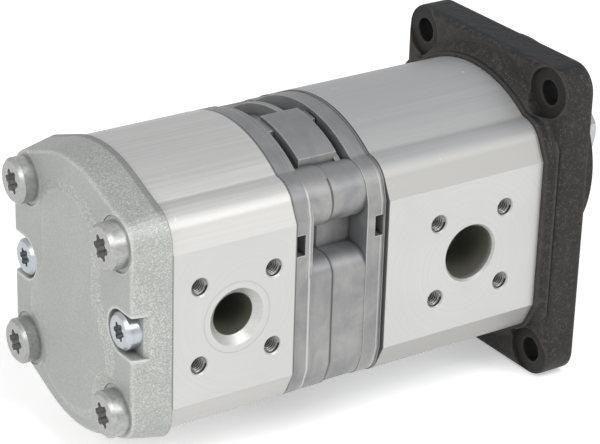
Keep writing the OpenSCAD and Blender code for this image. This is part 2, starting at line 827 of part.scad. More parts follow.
module rear_drive_gear() {
  neck_x = mid_x0 - end_gap;
  spline_x = mid_x0 + 4.5;
  color("#c3c7ca") {
    gear(rear_gear_x, rear_gear_w, 0, drive_phase);
    rod(rear_x0 + end_gap, neck_x, journal_r);
    rod(neck_x - cut, spline_x, neck_d / 2);
    slab(spline_x - cut, spline_x + rear_spline_l)
      spline_outline(spline_root_d / 2, spline_d / 2, spline_tooth_w);
  }
}

module rear_driven_gear() {
  color("#c3c7ca") {
    gear(rear_gear_x, rear_gear_w, driven_z, driven_phase);
    rod(rear_x0 + end_gap, mid_x0 - end_gap, journal_r, 0, driven_z);
  }
}

module coupling_sleeve() {
  play = 0.1;
  color("#6f7174") difference() {
    rod(coupling_x, coupling_x + coupling_l, coupling_d / 2);
    slab(coupling_x - cut, coupling_x + coupling_l + cut)
      spline_outline(spline_root_d / 2 + play, spline_d / 2 + play, spline_tooth_w + 2 * play);
  }
}

// Bearing blocks
module field_band_outline(grow) {
  intersection() {
    difference() {
      on_both_axes() circle(r = field_outer + grow);
      on_both_axes() circle(r = field_outer - field_band - grow);
    }
    translate([field_side - grow, 2 * driven_z]) square([2 * chamber_r, -4 * driven_z]);
  }
}

// A block between two stations; out is +1 where its sealed face looks toward +X
module bearing_block(x0, length, out) {
  x1 = x0 + length;
  groove = field_seal_t + backup_t;
  relief = 1.2;
  color("#cfd1cf") difference() {
    slab(x0, x1) on_both_axes() circle(r = chamber_r - block_gap);
    slab(x0 - cut, x1 + cut) on_both_axes() circle(r = sleeve_r + sleeve_fit);
    if (out > 0) {
      slab(x1 - groove, x1 + cut) field_band_outline(seal_fit);
    } else {
      slab(x0 - cut, x0 + groove) field_band_outline(seal_fit);
    }
    for (s = [-1, 1]) translate([out > 0 ? x0 - cut : x1 - relief, s * 6 - 2.5, centre_z - 2.2])
      cube([relief + cut, 5, 4.4]);
  }
}

module front_outer_block() {
  bearing_block(front_x1 - front_block_l, front_block_l, 1);
}

module front_inner_block() {
  bearing_block(front_x0, front_block_l, -1);
}

module rear_inner_block() {
  bearing_block(mid_x0 - rear_block_l, rear_block_l, 1);
}

module rear_outer_block() {
  bearing_block(rear_x0, rear_block_l, -1);
}

module sleeves(starts, length) {
  color("#a9844f") for (x = starts) slab(x, x + length) on_both_axes() difference() {
    circle(r = sleeve_r);
    circle(r = journal_r + journal_gap);
  }
}

module front_bearing_sleeves() {
  sleeves([front_x0 + 0.5, front_x1 - front_block_l], front_block_l - 0.5);
}

module rear_bearing_sleeves() {
  sleeves([rear_x0 + 0.5, mid_x0 - rear_block_l], rear_block_l - 0.5);
}

module field_rings(x0, x1, t, from, finish) {
  color(finish) {
    slab(x0 + from, x0 + from + t) field_band_outline(0);
    slab(x1 - from - t, x1 - from) field_band_outline(0);
  }
}

module front_field_seals() {
  field_rings(front_x0, front_x1, field_seal_t, 0, "#1b1b1c");
}

module rear_field_seals() {
  field_rings(rear_x0, mid_x0, field_seal_t, 0, "#1b1b1c");
}

module front_backup_rings() {
  field_rings(front_x0, front_x1, backup_t, field_seal_t, "#e6e2d4");
}

module rear_backup_rings() {
  field_rings(rear_x0, mid_x0, backup_t, field_seal_t, "#e6e2d4");
}

// Seals between the housings, each in its groove in a pump body
module flange_joint_seal() {
  color("#1b1b1c") joint_ring(front_x1 - seal_groove_depth, front_x1, 0);
}

module front_mid_seal() {
  color("#1b1b1c") joint_ring(front_x0, front_x0 + seal_groove_depth, 0);
}

module rear_mid_seal() {
  color("#1b1b1c") joint_ring(mid_x0 - seal_groove_depth, mid_x0, 0);
}

module cover_joint_seal() {
  color("#1b1b1c") joint_ring(rear_x0, rear_x0 + seal_groove_depth, 0);
}

// A radial shaft seal: metal case, front wall and a lip that leans toward the oil
module lip_seal(x0, w, outer_r, shaft_r) {
  lip_r = shaft_r + journal_gap;
  wall = 1.3;
  color("#2a2a2c") translate([x0, 0, 0]) rotate([0, 90, 0]) rotate_extrude() polygon([
    [outer_r, 0], [outer_r, w], [lip_r + 0.7, w], [lip_r + 0.3, w - wall],
    [lip_r + 0.8, w - 2 * wall], [lip_r, w * 0.42], [lip_r + 1.6, w * 0.3],
    [lip_r + 1.9, w - 1.6 * wall], [outer_r - wall, w - wall], [outer_r - wall, 0]]);
}

module shaft_seal() {
  lip_seal(pilot_h - seal_room(), seal_w, seal_d / 2 - sleeve_fit, journal_r);
}

module stage_seal() {
  lip_seal(front_x0 - stage_seal_w - 0.5, stage_seal_w, stage_seal_d / 2 - sleeve_fit, neck_d / 2);
}

module seal_retaining_ring() {
  x0 = pilot_h - seal_room() + seal_w + 0.15;
  outer = seal_d / 2 + 1.1;
  color("#55575a") slab(x0, x0 + ring_t) difference() {
    union() {
      difference() {
        circle(r = outer);
        circle(r = outer - 3.2);
        translate([0, -outer]) square([ring_gap, 2 * outer], center = true);
      }
      for (s = [-1, 1]) translate([s * 5.4, 3.6 - outer]) circle(r = 2.6);
    }
    for (s = [-1, 1]) translate([s * 5.4, 3.6 - outer]) circle(r = 1.2);
  }
}

// Fasteners
module socket(x0, depth, r) {
  for (i = [0:5]) rotate([i * 60, 0, 0]) rod(x0 - cut, x0 + depth, r * 0.26, r * 0.74, 0);
  rod(x0 - cut, x0 + depth, r * 0.74);
}

module head_screw(x_seat, x_end, d, head_d, head_h, recess_r) {
  top = x_seat - head_h;
  r = head_d / 2;
  difference() {
    union() {
      rod(top, top + 0.3, r - 1.1, r2 = r - 0.8);
      rod(top + 0.3, top + 1.1, r - 0.8, r2 = r);
      rod(top + 1.1, x_seat, r);
      rod(x_seat - cut, x_end - 1, d / 2);
      rod(x_end - 1, x_end, d / 2, r2 = d / 2 - 1);
    }
    socket(top, head_h * 0.55, recess_r);
  }
}

module through_bolts() {
  color("#9b9d9c") for (sy = [-1, 1], sz = [-1, 1])
    translate([0, sy * bolt_y, centre_z + sz * bolt_y])
      head_screw(bolt_seat, front_x1 + bolt_in_flange, bolt_d, bolt_head_d, bolt_head_h, 4.5);
}

module cover_screws() {
  color("#c9cdd1") for (s = [-1, 1]) translate([0, s * screw_pitch / 2, centre_z])
    head_screw(screw_seat, rear_x0 + screw_in_body, screw_d, screw_head_d, screw_head_h, 3.4);
}

module dowel_pins() {
  color("#b9bcbe") for (x = [front_x1, front_x0, mid_x0, rear_x0])
    dowel_spots(x, dowel_l, dowel_d / 2);
}

front_flange();
front_body();
mid_housing();
rear_body();
rear_cover();
drive_shaft();
front_driven_gear();
rear_drive_gear();
rear_driven_gear();
coupling_sleeve();
front_outer_block();
front_inner_block();
rear_inner_block();
rear_outer_block();
front_bearing_sleeves();
rear_bearing_sleeves();
front_field_seals();
rear_field_seals();
front_backup_rings();
rear_backup_rings();
flange_joint_seal();
front_mid_seal();
rear_mid_seal();
cover_joint_seal();
shaft_seal();
seal_retaining_ring();
stage_seal();
through_bolts();
cover_screws();
dowel_pins();
shaft_key();
shaft_nut();
nut_washer();
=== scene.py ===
"""Tandem gear pump: finishes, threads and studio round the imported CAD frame. Metres throughout."""
import json
import math

import bpy
import bmesh
from mathutils import Matrix, Vector


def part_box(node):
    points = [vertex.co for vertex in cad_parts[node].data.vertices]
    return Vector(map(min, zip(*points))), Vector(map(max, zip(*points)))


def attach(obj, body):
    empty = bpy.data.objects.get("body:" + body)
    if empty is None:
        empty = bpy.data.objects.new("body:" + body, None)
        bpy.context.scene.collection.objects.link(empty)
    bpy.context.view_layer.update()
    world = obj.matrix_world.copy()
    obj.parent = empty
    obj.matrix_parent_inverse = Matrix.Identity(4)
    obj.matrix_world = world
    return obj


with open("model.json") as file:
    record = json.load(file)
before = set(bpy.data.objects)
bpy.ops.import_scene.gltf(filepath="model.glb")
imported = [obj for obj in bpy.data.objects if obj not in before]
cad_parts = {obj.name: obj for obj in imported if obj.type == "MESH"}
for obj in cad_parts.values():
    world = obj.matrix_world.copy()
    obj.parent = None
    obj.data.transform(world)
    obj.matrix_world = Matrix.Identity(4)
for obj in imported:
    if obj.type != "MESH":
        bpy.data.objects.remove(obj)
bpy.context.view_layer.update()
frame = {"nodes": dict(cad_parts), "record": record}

MM = 0.001

# Camera, solved from the photograph
AIM = Vector((-93.5, -5.2, -7.9)) * MM
AZIMUTH = math.radians(-34.48)
ELEVATION = math.radians(24.70)
ROLL = math.radians(1.72)
DISTANCE = 830 * MM
SENSOR = 36.0
LENS = 144.34

# Studio
WORLD_LEVEL = 0.5
FLOOR_SIZE = 4
FLOOR_GAP = 0.2 * MM
FLOOR_GLOW = 0.4

mounts = {m["name"]: m for m in frame["record"]["mounts"]}


def dim(mount, name):
    """One dimension of a mount in the record."""
    return mounts[mount]["dims"][name] * MM


# Places on the pump that the finishes and the threads need
flange_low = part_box("front_flange")[0]
front_low, front_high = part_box("front_body")
mid_low, mid_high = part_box("mid_housing")
rear_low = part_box("rear_body")[0]
cover_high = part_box("rear_cover")[1]
CENTRE_Z = (front_low.z + front_high.z) / 2
HALF_W = front_high.y
FRONT_PORT_X = mounts["front_suction"]["pos_m"][0]
REAR_PORT_X = mounts["rear_suction"]["pos_m"][0]
FRONT_PORT_R = dim("front_suction", "r_mm")
REAR_PORT_R = dim("rear_suction", "r_mm")
SUCTION_PCD = dim("front_suction_screws", "pcd_mm")
PRESSURE_PCD = dim("front_pressure_screws", "pcd_mm")
TAPPED_R = dim("front_suction_screws", "hole_r_mm")
TAPPED_TURN = math.radians(45)
FLANGE_Y = dim("flange_bolts", "spacing_x_mm") / 2
FLANGE_Z = dim("flange_bolts", "spacing_y_mm") / 2
FLANGE_HOLE_R = dim("flange_bolts", "hole_r_mm")

# Places of the marks that the finishes draw
# A joint has its place, half its width and its strength
JOINT_GREY = (58, 59, 62)
BODY_JOINTS = ((mid_low.x, 0.7 * MM, 0.85), (mid_high.x, 0.3 * MM, 0.8),
               (rear_low.x, 0.35 * MM, 0.5))
FRONT_SWEEP = (FRONT_PORT_X - 3 * MM, CENTRE_Z - 4 * MM)
REAR_SWEEP = (REAR_PORT_X + 4 * MM, CENTRE_Z + 3 * MM)
RIM_RING_R = 12.6 * MM
# Ridges beside the mid housing's rims, drawn as painted highlight lines.
REAR_RIDGE_X = mid_low.x + 6.1 * MM
FRONT_RIDGE_X = mid_high.x - 1.9 * MM
# Step on the mid housing's boss, whose shadow is painted as a dark line up to the boss top.
BOSS_STEP_X = mid_low.x + 15.6 * MM
BOSS_TOP_Z = front_high.z - 12 * MM
# Band of the cover next to the rear body, painted darker on its upper side and without painted edge
# highlight.
COVER_BAND_X = (cover_high.x - 2.4 * MM, cover_high.x - 1.6 * MM)
MOUNTING_FACE_X = (-0.5 * MM, -0.2 * MM)
SPOT_FACE_LOW_X = (flange_low.x + 5.2 * MM, flange_low.x + 5.6 * MM)
SPOT_FACE_HIGH_X = (-6 * MM, -7 * MM)

# Threads of the tapped port holes, with their depth below the port face and into the wall
THREAD_PITCH = 1.0 * MM
THREAD_TURNS = 11.5
THREAD_STEPS = 22
THREAD_HEIGHT = 0.5 * MM
THREAD_START = 0.5 * MM
THREAD_SUNK = 0.02 * MM


def srgb(r, g, b):
    """Linear colour of an sRGB triple given as 0 to 255."""
    def linear(v):
        v /= 255
        return v / 12.92 if v <= 0.04045 else ((v + 0.055) / 1.055) ** 2.4
    return (linear(r), linear(g), linear(b), 1.0)


class Finish:
    """A procedural material built from a chain of small node calls."""

    def __init__(self, name, moving=False):
        self.material = bpy.data.materials.new(name)
        self.material.use_nodes = True
        self.tree = self.material.node_tree
        self.tree.nodes.clear()
        out = self.node("ShaderNodeOutputMaterial")
        self.shader = self.node("ShaderNodeBsdfPrincipled")
        self.link(self.shader.outputs[0], out.inputs[0])
        geometry = self.node("ShaderNodeNewGeometry").outputs
        if moving:
            self.place = self.node("ShaderNodeTexCoord").outputs["Object"]
        else:
            self.place = geometry["Position"]
        self.normal = geometry["Normal"]
        self.true_normal = geometry["True Normal"]

    def node(self, kind, **settings):
        made = self.tree.nodes.new(kind)
        for key, value in settings.items():
            setattr(made, key, value)
        return made

    def link(self, source, target):
        self.tree.links.new(source, target)

    def feed(self, socket, value):
        """Link an output to the socket, or set it to a plain value."""
        if hasattr(value, "is_output"):
            self.link(value, socket)
        elif value is not None:
            socket.default_value = value

    def set(self, **values):
        """Feed the shader's sockets, named with _ for a space."""
        for name, value in values.items():
            self.feed(self.shader.inputs[name.replace("_", " ")], value)

    def math(self, op, a, b=None):
        n = self.node("ShaderNodeMath", operation=op)
        for socket, value in zip(n.inputs, (a, b)):
            self.feed(socket, value)
        return n.outputs[0]

    def times(self, *values):
        """Product of several factors."""
        total = values[0]
        for value in values[1:]:
            total = self.math("MULTIPLY", total, value)
        return total

    def scaled(self, vector, scale):
        n = self.node("ShaderNodeVectorMath", operation="MULTIPLY")
        self.feed(n.inputs[0], vector)
        n.inputs[1].default_value = scale
        return n.outputs[0]

    def part(self, vector, axis):
        """One component of a vector or a colour."""
        n = self.node("ShaderNodeSeparateXYZ")
        self.feed(n.inputs[0], vector)
        return n.outputs["XYZ".index(axis)]

    def ramp(self, value, low, high, out_low=0.0, out_high=1.0):
        n = self.node("ShaderNodeMapRange")
        n.inputs["From Min"].default_value = low
        n.inputs["From Max"].default_value = high
        n.inputs["To Min"].default_value = out_low
        n.inputs["To Max"].default_value = out_high
        self.feed(n.inputs["Value"], value)
        return n.outputs["Result"]

    def mix(self, factor, a, b):
        n = self.node("ShaderNodeMix", data_type="RGBA")
        self.feed(n.inputs[0], factor)
        self.feed(n.inputs[6], a)
        self.feed(n.inputs[7], b)
        return n.outputs[2]

    def tint(self, colour, rgb, *amounts):
        """The colour, mixed towards an sRGB triple by the product of the amounts."""
        return self.mix(self.times(*amounts), colour, srgb(*rgb))

    def noise(self, scale, detail=3.0, rough=0.5, stretch=(1, 1, 1), distort=0.0):
        n = self.node("ShaderNodeTexNoise")
        self.feed(n.inputs["Vector"], self.scaled(self.place, stretch))
        n.inputs["Scale"].default_value = scale
        n.inputs["Detail"].default_value = detail
        n.inputs["Roughness"].default_value = rough
        n.inputs["Distortion"].default_value = distort
        return n.outputs["Fac"]

    def noise_along(self, distance, scale):
        """Noise that changes with one distance only."""
        n = self.node("ShaderNodeTexNoise", noise_dimensions="1D")
        n.inputs["Scale"].default_value = scale
        n.inputs["Detail"].default_value = 3
        self.feed(n.inputs["W"], distance)
        return n.outputs["Fac"]

    def rings(self, centre, scale):
        """Faint arcs of a cutter that swept round a centre in the X-Z plane."""
        return self.noise_along(self.away("XZ", centre), scale)

    def streaks(self, along_x, along_y, scale):
        """Fine parallel scratches, given the direction that crosses them in the X-Y plane."""
        across = self.math("ADD", self.times(self.part(self.place, "X"), along_x),
                           self.times(self.part(self.place, "Y"), along_y))
        across = self.math("ADD", across, self.times(self.noise(60, 2), 2 * MM))
        return self.noise_along(across, scale)

    def off(self, axis, at):
        """Distance from a plane across an axis."""
        return self.math("ABSOLUTE", self.math("SUBTRACT", self.part(self.place, axis), at))

    def away(self, axes, centre):
        """Distance from a line parallel to the remaining axis."""
        squares = []
        for axis, value in zip(axes, centre):
            d = self.math("SUBTRACT", self.part(self.place, axis), value)
            squares.append(self.math("MULTIPLY", d, d))
        return self.math("SQRT", self.math("ADD", *squares))

    def line(self, axis, at, half_width):
        """1 on a thin line across an axis, fading to 0 at half its width."""
        return self.ramp(self.off(axis, at), half_width, half_width * 0.4)

    def four_holes(self, axes, middle, spacing, hole_r):
        """1 inside four round holes that lie evenly about a middle in the plane of two axes."""
        squares = []
        for axis, at, half in zip(axes, middle, spacing):
            d = self.math("SUBTRACT", self.off(axis, at), half)
            squares.append(self.math("MULTIPLY", d, d))
        d = self.math("SQRT", self.math("ADD", *squares))
        return self.math("LESS_THAN", d, hole_r)

    def facing(self, axis, near=0.97, full=0.995):
        """1 where the surface faces along an axis, either way."""
        part = self.math("ABSOLUTE", self.part(self.true_normal, axis))
        return self.ramp(part, near, full)

    def near_solid(self, reach, inside):
        """Openness of a point to its own node, towards its inside or its outside."""
        n = self.node("ShaderNodeAmbientOcclusion", samples=6, inside=inside, only_local=True)
        n.inputs["Distance"].default_value = reach
        return n.outputs["AO"]

    def edge(self, reach):
        """0 on open faces, rising to 1 on outer edges."""
        return self.ramp(self.near_solid(reach, True), 0.92, 0.6)

    def crease(self, reach=1.2 * MM):
        """0 on open faces, rising to 1 in inner corners."""
        return self.ramp(self.near_solid(reach, False), 0.9, 0.5)

    def bump(self, height, distance, strength, soften):
        """Bump the shader's normal, over edges rounded by a small radius unless it is None."""
        n = self.node("ShaderNodeBump")
        n.inputs["Strength"].default_value = strength
        n.inputs["Distance"].default_value = distance
        self.feed(n.inputs["Height"], height)
        if soften:
            soft = self.node("ShaderNodeBevel", samples=6)
            soft.inputs["Radius"].default_value = soften
            self.link(soft.outputs[0], n.inputs["Normal"])
        self.link(n.outputs[0], self.shader.inputs["Normal"])


def extruded_aluminium():
    """Satin skin drawn along the shaft, with paler fly-cut port faces."""
    f = Finish("extruded_aluminium")
    at_front = f.math("GREATER_THAN", f.part(f.place, "X"), (mid_low.x + mid_high.x) / 2)
    at_rear = f.math("SUBTRACT", 1.0, at_front)

    lines = f.noise(900, 4, 0.7, stretch=(0.012, 1, 1))
    broad = f.noise(110, 3, 0.6, stretch=(0.02, 1, 1))
    nick = f.ramp(f.noise(260, 2, 0.5, stretch=(1, 0.6, 0.6)), 0.72, 0.78)
    painted_light_flank = f.ramp(f.math("ABSOLUTE", f.part(f.normal, "Y")), 0.4, 0.9)
    drawn = f.mix(f.ramp(lines, 0.3, 0.7), srgb(178, 179, 179), srgb(199, 198, 195))
    drawn = f.tint(drawn, (164, 166, 169), f.ramp(broad, 0.35, 0.7, 0, 0.35))
    # Painted shade: the front body's drawn skin is mixed darker.
    drawn = f.tint(drawn, (145, 148, 153), at_front, 0.5)
    # Painted light: the side-facing flanks are mixed paler and warmer, as if lit.
    drawn = f.tint(drawn, (173, 171, 166), painted_light_flank, at_front, 0.7)
    drawn = f.tint(drawn, (190, 188, 183), painted_light_flank, at_rear, 0.5)
    drawn = f.tint(drawn, (214, 213, 209), nick, 0.5)

    cloud = f.noise(28, 3, 0.55)
    sweep = f.math("ADD", f.times(f.rings(FRONT_SWEEP, 900), at_front),
                   f.times(f.rings(REAR_SWEEP, 900), at_rear))
    off_ring = f.math("SUBTRACT", f.away("XZ", (REAR_PORT_X, CENTRE_Z)), RIM_RING_R)
    ring = f.ramp(f.math("ABSOLUTE", off_ring), 0.35 * MM, 0.1 * MM, 0, 0.45)
    suction_side = f.math("LESS_THAN", f.part(f.place, "Y"), 0.0)
    milled = f.mix(f.ramp(cloud, 0.3, 0.75), srgb(202, 202, 200), srgb(196, 197, 194))
    milled = f.tint(milled, (190, 191, 189), f.ramp(sweep, 0.42, 0.62, 0, 0.22))
    milled = f.tint(milled, (160, 160, 158), suction_side, ring)

    port_face = f.facing("Y")
    colour = f.mix(port_face, drawn, milled)
    colour = f.tint(colour, (178, 178, 178), f.facing("X"))
    # Painted highlight along the outer edges.
    colour = f.tint(colour, (228, 228, 226), f.edge(0.5 * MM), 0.7)
    # Painted shade in the inner corners.
    colour = f.tint(colour, (110, 110, 108), f.crease(), 0.5)
    for x, half_width, depth in BODY_JOINTS:
        colour = f.tint(colour, JOINT_GREY, f.line("X", x, half_width), depth)

    # Painted shade inside the port bores, deeper than the port face.
    beside = f.off("Y", 0.0)
    deep = f.ramp(beside, HALF_W - 1.2 * MM, HALF_W - 3 * MM)
    for x, port_r in ((FRONT_PORT_X, FRONT_PORT_R), (REAR_PORT_X, REAR_PORT_R)):
        inside = f.math("LESS_THAN", f.away("XZ", (x, CENTRE_Z)), port_r + 0.1 * MM)
        colour = f.tint(colour, (124, 124, 113), deep, inside)
    # Painted shade inside the tapped holes round the ports.
    deep = f.ramp(beside, HALF_W - 0.4 * MM, HALF_W - 0.8 * MM)
    for x in (FRONT_PORT_X, REAR_PORT_X):
        for pcd in (SUCTION_PCD, PRESSURE_PCD):
            spacing = pcd / 2 * math.cos(TAPPED_TURN)
            inside = f.four_holes("XZ", (x, CENTRE_Z), (spacing, spacing), TAPPED_R + 0.1 * MM)
            colour = f.tint(colour, (62, 61, 59), deep, inside)

    uneven = f.math("MAXIMUM", lines, f.times(port_face, 0.75))
    roughness = f.math("ADD", f.times(at_front, 0.06), f.ramp(uneven, 0.2, 0.8, 0.37, 0.5))
    f.set(Base_Color=colour, Metallic=0.55, Roughness=roughness)
    f.bump(f.math("ADD", lines, f.times(sweep, port_face, 0.5)), 0.02 * MM, 0.3, 0.35 * MM)
    return f


def die_cast_aluminium():
    """Dull bluish casting with flow marks and a slightly uneven skin, with painted shade on its top
    and end faces, in its corners and below the boss step, and painted highlights on its edges and
    ridges.
    """
    f = Finish("die_cast_aluminium")
    cloud = f.noise(70, 5, 0.62, distort=0.6)
    flow = f.noise(130, 4, 0.6, stretch=(1, 0.6, 0.35), distort=1.0)
    fine = f.noise(1500, 3, 0.6)
    up = f.ramp(f.part(f.true_normal, "Z"), 0.3, 0.9)
    ends = f.facing("X")
    colour = f.mix(f.ramp(cloud, 0.3, 0.7), srgb(130, 131, 133), srgb(166, 165, 162))
    colour = f.tint(colour, (112, 114, 118), f.ramp(flow, 0.45, 0.72, 0, 0.45))
    # Painted shade: upward faces and end faces are mixed darker and bluer.
    colour = f.tint(colour, (112, 114, 119), up, 0.6)
    colour = f.tint(colour, (108, 110, 114), ends, 0.5)
    # Painted highlight along the outer edges, weaker on upward faces.
    colour = f.tint(colour, (208, 208, 206), f.edge(0.5 * MM), f.ramp(up, 0, 1, 0.65, 0.3))
    # Painted shade in the inner corners.
    colour = f.tint(colour, (62, 63, 66), f.crease(1.5 * MM), 0.75)

    # Painted highlights: bright lines for the ridges beside the rims, on the side faces only.
    painted_ridge_highlight = f.math("MAXIMUM", f.line("X", REAR_RIDGE_X, 0.5 * MM),
                   f.times(f.line("X", FRONT_RIDGE_X, 0.35 * MM), 0.8))
    beside = f.math("SUBTRACT", 1.0, f.math("MAXIMUM", ends, up))
    on_boss = f.math("LESS_THAN", f.part(f.place, "Z"), BOSS_TOP_Z)
    colour = f.tint(colour, (214, 214, 212), painted_ridge_highlight, beside, 0.6)
    # Painted shadow: a dark line below the step on the boss.
    colour = f.tint(colour, (58, 59, 61), f.line("X", BOSS_STEP_X, 0.75 * MM), on_boss, 0.85)
    colour = f.tint(colour, (40, 40, 42), f.line("X", mid_high.x, 0.9 * MM), 0.85)
    colour = f.tint(colour, JOINT_GREY, f.line("X", mid_low.x, 0.4 * MM), 0.7)

    f.set(Base_Color=colour, Metallic=0.5, Roughness=f.ramp(cloud, 0.2, 0.8, 0.4, 0.56))
    skin = f.math("ADD", fine, f.math("ADD", f.times(cloud, 3.0), flow))
    f.bump(skin, 0.06 * MM, 0.5, 0.5 * MM)
    return f


def sand_cast_aluminium():
    """Blasted casting with glints painted into its grain, coarser on its sides and slopes, painted
    shade on its top, corners and joint band, and painted highlights on its edges.
    """
    f = Finish("sand_cast_aluminium")
    pick = f.node("ShaderNodeTexVoronoi")
    f.feed(pick.inputs["Vector"], f.place)
    pick.inputs["Scale"].default_value = 3000
    glint = f.math("POWER", f.part(pick.outputs["Color"], "X"), 3.0)
    grain = f.noise(2400, 3, 0.6)
    flat = f.facing("X", 0.985, 0.999)
    up = f.ramp(f.part(f.true_normal, "Z"), 0.5, 0.95)
    coarse = f.times(f.ramp(flat, 0, 1, 1.0, 0.4), f.ramp(up, 0, 1, 1.0, 0.6))
    at_joint = f.ramp(f.part(f.place, "X"), *COVER_BAND_X)
    colour = f.mix(f.ramp(grain, 0.35, 0.65), srgb(150, 153, 150), srgb(176, 178, 174))
    # Painted shade: upward faces are mixed darker.
    colour = f.tint(colour, (140, 142, 141), up, 0.7)
    # Painted glints: pale specks, strongest on the sides and slopes.
    colour = f.tint(colour, (222, 223, 218), glint, coarse, 0.7)
    colour = f.tint(colour, (152, 155, 152), f.ramp(f.noise(45, 3), 0.4, 0.7, 0, 0.3))
    # Painted highlight along the outer edges, fading out at the band by the joint.
    colour = f.tint(colour, (226, 227, 222), f.edge(1.4 * MM), f.ramp(at_joint, 0, 1, 0.75, 0))
    # Painted shade on the upper side of the band by the joint with the rear body.
    colour = f.tint(colour, (104, 107, 109), at_joint, up, 0.6)
    # Painted shade in the inner corners.
    colour = f.tint(colour, (92, 94, 92), f.crease(2.5 * MM), 0.5)
    f.set(Base_Color=colour, Metallic=0.35, Roughness=f.ramp(grain, 0.3, 0.7, 0.36, 0.6))
    f.bump(f.math("ADD", grain, f.times(glint, 0.4)), 0.14 * MM, 0.6, 0.6 * MM)
    return f


def black_iron():
    """Blackened casting with brown specks, paler edges that are partly wear and partly painted
    highlight, and a scratched top painted darker and bluish as shade; its back faces are painted
    lighter as lit.
    """
    f = Finish("black_iron")
    speck = f.noise(1500, 4, 0.7)
    blotch = f.noise(70, 4, 0.6)
    back = f.ramp(f.part(f.true_normal, "X"), -0.9, -0.98)
    colour = f.mix(f.ramp(blotch, 0.3, 0.7), srgb(28, 27, 26), srgb(42, 40, 38))
    # Painted light: faces turned to the back are mixed lighter.
    colour = f.tint(colour, (58, 55, 52), back, 0.6)
    colour = f.tint(colour, (76, 72, 68), f.ramp(f.noise(420, 4, 0.7), 0.5, 0.72, 0, 0.7))
    colour = f.tint(colour, (98, 92, 86), f.ramp(speck, 0.54, 0.7, 0, 0.75))
    # Painted shade: upward faces take a darker, bluish colour, crossed by lighter scratch marks.
    up = f.ramp(f.part(f.true_normal, "Z"), 0.85, 0.97)
    scratch = f.ramp(f.streaks(0.8, 0.6, 900), 0.5, 0.7)
    colour = f.mix(up, colour, f.mix(scratch, srgb(18, 19, 22), srgb(42, 44, 49)))

    x = f.part(f.place, "X")
    ends = f.facing("X", 0.995, 0.999)
    machined = f.times(ends, f.ramp(x, *MOUNTING_FACE_X))
    spot_face = f.times(ends, f.ramp(x, *SPOT_FACE_LOW_X), f.ramp(x, *SPOT_FACE_HIGH_X))
    hole = f.four_holes("YZ", (0.0, CENTRE_Z), (FLANGE_Y, FLANGE_Z), FLANGE_HOLE_R + 0.3 * MM)
    colour = f.tint(colour, (112, 110, 107), machined)
    colour = f.tint(colour, (32, 31, 31), spot_face, 0.8)
    # Painted shade: the bores of the flange holes are made near black.
    colour = f.tint(colour, (12, 11, 11), hole)
    # Paler edges, partly wear and partly painted highlight.
    colour = f.tint(colour, (82, 77, 72), f.edge(1.2 * MM), 0.45)
    # Painted shade in the inner corners.
    colour = f.tint(colour, (12, 11, 11), f.crease(), 0.6)

    f.set(Base_Color=colour, Metallic=0.1, Specular_IOR_Level=0.3,
          Roughness=f.ramp(speck, 0.3, 0.7, 0.5, 0.7))
    f.bump(f.math("ADD", speck, f.times(blotch, 1.5)), 0.12 * MM, 0.7, 0.8 * MM)
    return f


def steel(name, dark, light, roughness, metallic=0.9, stretch=(1, 1, 1), moving=False,
          marks_scale=800, soften=0.3 * MM):
    """Plain steel with turning marks, painted highlights on its edges and painted shade in its inner
    corners, for shafts, screws and keys.
    """
    f = Finish(name, moving)
    marks = f.noise(marks_scale, 4, 0.65, stretch=stretch)
    colour = f.mix(f.ramp(marks, 0.3, 0.7), dark, light)
    # Painted highlight along the outer edges.
    colour = f.tint(colour, (225, 226, 228), f.edge(0.4 * MM), 0.5)
    # Painted shade in the inner corners.
    colour = f.tint(colour, (60, 60, 61), f.crease(0.8 * MM), 0.5)
    f.set(Base_Color=colour, Metallic=metallic,
          Roughness=f.ramp(marks, 0.2, 0.8, roughness - 0.06, roughness + 0.08))
    f.bump(marks, 0.015 * MM, 0.3, soften)
    return f


def moulded(name, dark, light, roughness):
    """Rubber or plastic with a faint grain."""
    f = Finish(name)
    grain = f.noise(900, 3, 0.6)
    f.set(Base_Color=f.mix(f.ramp(grain, 0.3, 0.7), dark, light),
          Roughness=f.ramp(grain, 0.2, 0.8, roughness - 0.08, roughness + 0.08))
    f.bump(grain, 0.03 * MM, 0.4, 0.2 * MM)
    return f


ACROSS = (1, 0.02, 0.02)
finishes = {
    "body_aluminium": extruded_aluminium(),
    "die_cast_aluminium": die_cast_aluminium(),
    "sand_cast_aluminium": sand_cast_aluminium(),
    "black_iron": black_iron(),
    "ground_steel": steel("ground_steel", srgb(178, 182, 186), srgb(208, 211, 214), 0.26,
                          stretch=ACROSS, moving=True),
    "block_aluminium": steel("block_aluminium", srgb(188, 189, 188), srgb(208, 208, 206), 0.4),
    "bearing_bronze": steel("bearing_bronze", srgb(168, 132, 82), srgb(192, 156, 102), 0.36),
    "seal_rubber": moulded("seal_rubber", srgb(24, 24, 25), srgb(36, 36, 37), 0.5),
    "backup_plastic": moulded("backup_plastic", srgb(216, 211, 196), srgb(230, 226, 214), 0.45),
    "spring_steel": steel("spring_steel", srgb(74, 75, 78), srgb(98, 99, 102), 0.42),
    "bolt_steel": steel("bolt_steel", srgb(150, 151, 149), srgb(176, 177, 174), 0.34, 0.6),
    "zinc_steel": steel("zinc_steel", srgb(166, 171, 177), srgb(184, 188, 192), 0.3,
                        marks_scale=300),
    # Painted shade: the threads are coloured dark, as the inside of their holes.
    "tapped_thread": steel("tapped_thread", srgb(98, 96, 92), srgb(130, 128, 124), 0.36, 0.8,
                           soften=None),
    "key_steel": steel("key_steel", srgb(160, 161, 163), srgb(184, 185, 187), 0.34),
}

slot_of = {s["node"]: s["material_slot"] for s in frame["record"]["subparts"]}
for name, node in frame["nodes"].items():
    node.data.materials.clear()
    node.data.materials.append(finishes[slot_of[name]].material)


